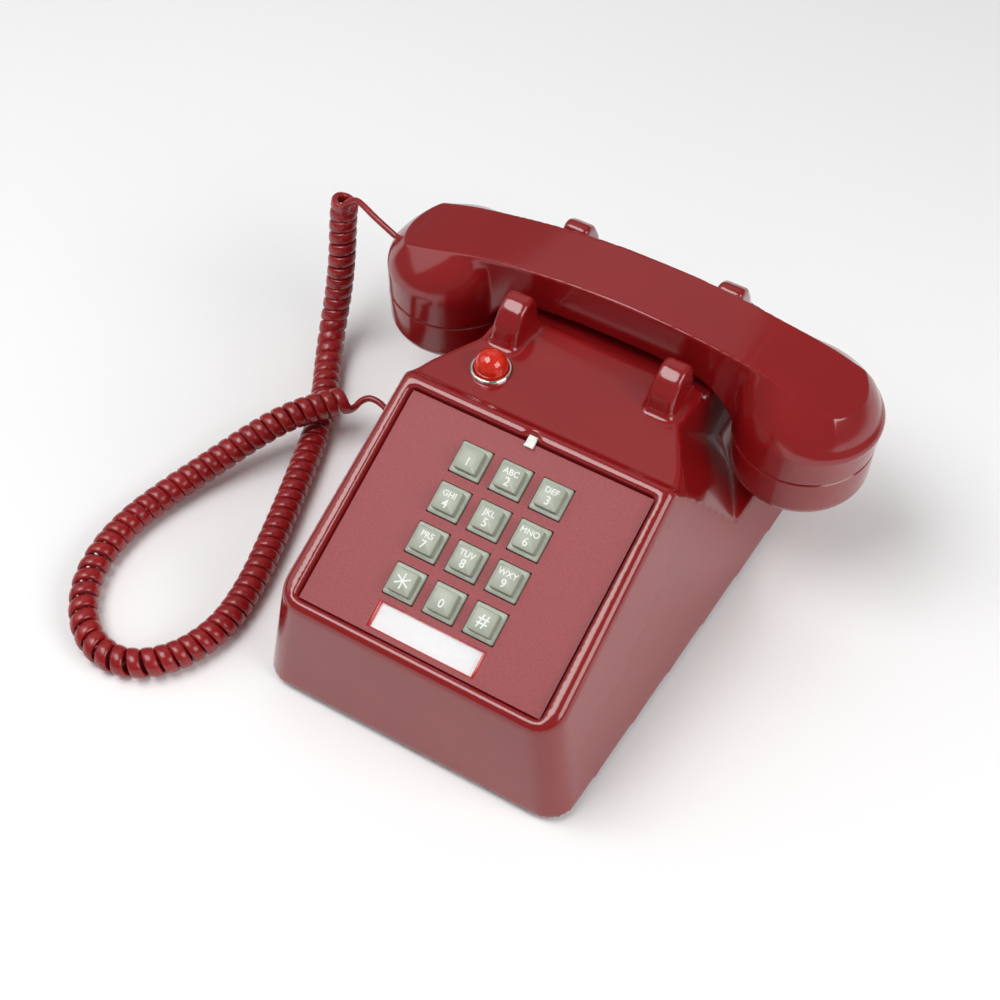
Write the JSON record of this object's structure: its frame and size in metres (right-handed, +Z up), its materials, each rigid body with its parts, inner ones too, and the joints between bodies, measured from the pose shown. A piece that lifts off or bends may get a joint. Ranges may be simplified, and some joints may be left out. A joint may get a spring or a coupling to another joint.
{
  "type": "desk telephone",
  "caption": "Push-button desk telephone with a wedge-shaped base, cradle, message lamp and a handset on a coiled cord.",
  "frame": {"origin": "on the table, under the middle of the telephone without its cord", "axes": "+Z up, -Y towards the user (keypad side), +X to the user's right"},
  "size_m": [0.2845, 0.2515, 0.1176],
  "materials": {
    "shell_red": "glossy",
    "plate_red": "fine matte texture",
    "key_grey": "satin",
    "card_paper": "paper",
    "clear_plastic": "clear",
    "lamp_amber": "translucent",
    "chrome": "polished",
    "steel": "zinc plated",
    "gong_metal": "satin",
    "black_rubber": "matte",
    "black_plastic": "satin",
    "grey_plastic": "satin",
    "board_green": "satin",
    "cord_red": "soft gloss",
    "white_plastic": "satin"
  },
  "bodies": {
    "base": {"base_cord_jack": "black_plastic", "base_cord_plug": "cord_red", "base_plate": "steel", "board_spacers": "white_plastic", "card_window": "clear_plastic", "contact_domes": "steel", "cord_base_lead": "cord_red", "cord_coil": "cord_red", "cord_handset_lead": "cord_red", "designation_card": "card_paper", "faceplate": "plate_red", "faceplate_latch": "clear_plastic", "gong_left": "gong_metal", "gong_right": "gong_metal", "gong_screws": "steel", "hook_bracket": "steel", "hook_pivot_pin": "steel", "hook_switch": "grey_plastic", "housing": "shell_red", "housing_screws": "steel", "keypad_board": "board_green", "keypad_frame": "black_plastic", "lamp_bezel": "chrome", "lamp_bulb": "white_plastic", "lamp_lens": "lamp_amber", "line_jack": "black_plastic", "network_board": "board_green", "network_components": "black_plastic", "ringer_coil": "grey_plastic", "ringer_frame": "steel", "rubber_feet": "black_rubber", "wheel_bracket": "steel"},
    "button_0": {"button_0": "key_grey"},
    "button_1": {"button_1": "key_grey"},
    "button_2": {"button_2": "key_grey"},
    "button_3": {"button_3": "key_grey"},
    "button_4": {"button_4": "key_grey"},
    "button_5": {"button_5": "key_grey"},
    "button_6": {"button_6": "key_grey"},
    "button_7": {"button_7": "key_grey"},
    "button_8": {"button_8": "key_grey"},
    "button_9": {"button_9": "key_grey"},
    "button_pound": {"button_pound": "key_grey"},
    "button_star": {"button_star": "key_grey"},
    "plunger_left": {"plunger_left": "white_plastic"},
    "plunger_right": {"plunger_right": "white_plastic"},
    "hook_lever": {"hook_lever": "steel"},
    "clapper": {"clapper": "steel"},
    "loudness_wheel": {"loudness_wheel": "black_plastic"},
    "handset": {"handset_shell": "shell_red", "ear_cap": "shell_red", "mouth_cap": "shell_red", "receiver_unit": "black_plastic", "transmitter_unit": "black_plastic", "transmitter_contact_cup": "white_plastic", "handset_jack": "black_plastic", "handset_cord_plug": "cord_red"}
  },
  "joints": [
    {"name": "press_0", "type": "slide", "parent": "base", "child": "button_0", "axis": [0, 0.4051, -0.9143], "range_m": [0, 0.0025], "stiffness_N_per_m": 400, "springref_m": -0.0015},
    {"name": "press_1", "type": "slide", "parent": "base", "child": "button_1", "axis": [0, 0.4051, -0.9143], "range_m": [0, 0.0025], "stiffness_N_per_m": 400, "springref_m": -0.0015},
    {"name": "press_2", "type": "slide", "parent": "base", "child": "button_2", "axis": [0, 0.4051, -0.9143], "range_m": [0, 0.0025], "stiffness_N_per_m": 400, "springref_m": -0.0015},
    {"name": "press_3", "type": "slide", "parent": "base", "child": "button_3", "axis": [0, 0.4051, -0.9143], "range_m": [0, 0.0025], "stiffness_N_per_m": 400, "springref_m": -0.0015},
    {"name": "press_4", "type": "slide", "parent": "base", "child": "button_4", "axis": [0, 0.4051, -0.9143], "range_m": [0, 0.0025], "stiffness_N_per_m": 400, "springref_m": -0.0015},
    {"name": "press_5", "type": "slide", "parent": "base", "child": "button_5", "axis": [0, 0.4051, -0.9143], "range_m": [0, 0.0025], "stiffness_N_per_m": 400, "springref_m": -0.0015},
    {"name": "press_6", "type": "slide", "parent": "base", "child": "button_6", "axis": [0, 0.4051, -0.9143], "range_m": [0, 0.0025], "stiffness_N_per_m": 400, "springref_m": -0.0015},
    {"name": "press_7", "type": "slide", "parent": "base", "child": "button_7", "axis": [0, 0.4051, -0.9143], "range_m": [0, 0.0025], "stiffness_N_per_m": 400, "springref_m": -0.0015},
    {"name": "press_8", "type": "slide", "parent": "base", "child": "button_8", "axis": [0, 0.4051, -0.9143], "range_m": [0, 0.0025], "stiffness_N_per_m": 400, "springref_m": -0.0015},
    {"name": "press_9", "type": "slide", "parent": "base", "child": "button_9", "axis": [0, 0.4051, -0.9143], "range_m": [0, 0.0025], "stiffness_N_per_m": 400, "springref_m": -0.0015},
    {"name": "press_pound", "type": "slide", "parent": "base", "child": "button_pound", "axis": [0, 0.4051, -0.9143], "range_m": [0, 0.0025], "stiffness_N_per_m": 400, "springref_m": -0.0015},
    {"name": "press_star", "type": "slide", "parent": "base", "child": "button_star", "axis": [0, 0.4051, -0.9143], "range_m": [0, 0.0025], "stiffness_N_per_m": 400, "springref_m": -0.0015},
    {"name": "handset_lift", "type": "slide", "parent": "base", "child": "handset", "axis": [0, 0, 1], "range_m": [0, 0.12]},
    {"name": "plunger_left_rise", "type": "slide", "parent": "base", "child": "plunger_left", "axis": [0, 0, 1], "range_m": [0, 0.005]},
    {"name": "plunger_right_rise", "type": "slide", "parent": "base", "child": "plunger_right", "axis": [0, 0, 1], "range_m": [0, 0.005]},
    {"name": "hook_lever_tilt", "type": "hinge", "parent": "base", "child": "hook_lever", "pos_m": [0, 0.03, 0.076], "axis": [1, 0, 0], "range_deg": [0, 8]},
    {"name": "clapper_swing", "type": "hinge", "parent": "base", "child": "clapper", "pos_m": [0, 0.054, 0.026], "axis": [0, 0, 1], "range_deg": [-1.4, 1.4], "stiffness_Nm_per_rad": 0.002},
    {"name": "loudness_turn", "type": "hinge", "parent": "base", "child": "loudness_wheel", "pos_m": [0.046, 0.014, 0.012], "axis": [1, 0, 0], "range_deg": [0, 150]}
  ],
  "couplings": [
    {"joint": "plunger_left_rise", "follows": "handset_lift", "ratio": 0.041667},
    {"joint": "plunger_right_rise", "follows": "handset_lift", "ratio": 0.041667},
    {"joint": "hook_lever_tilt", "follows": "handset_lift", "rad_per_m": 1.1636}
  ]
}
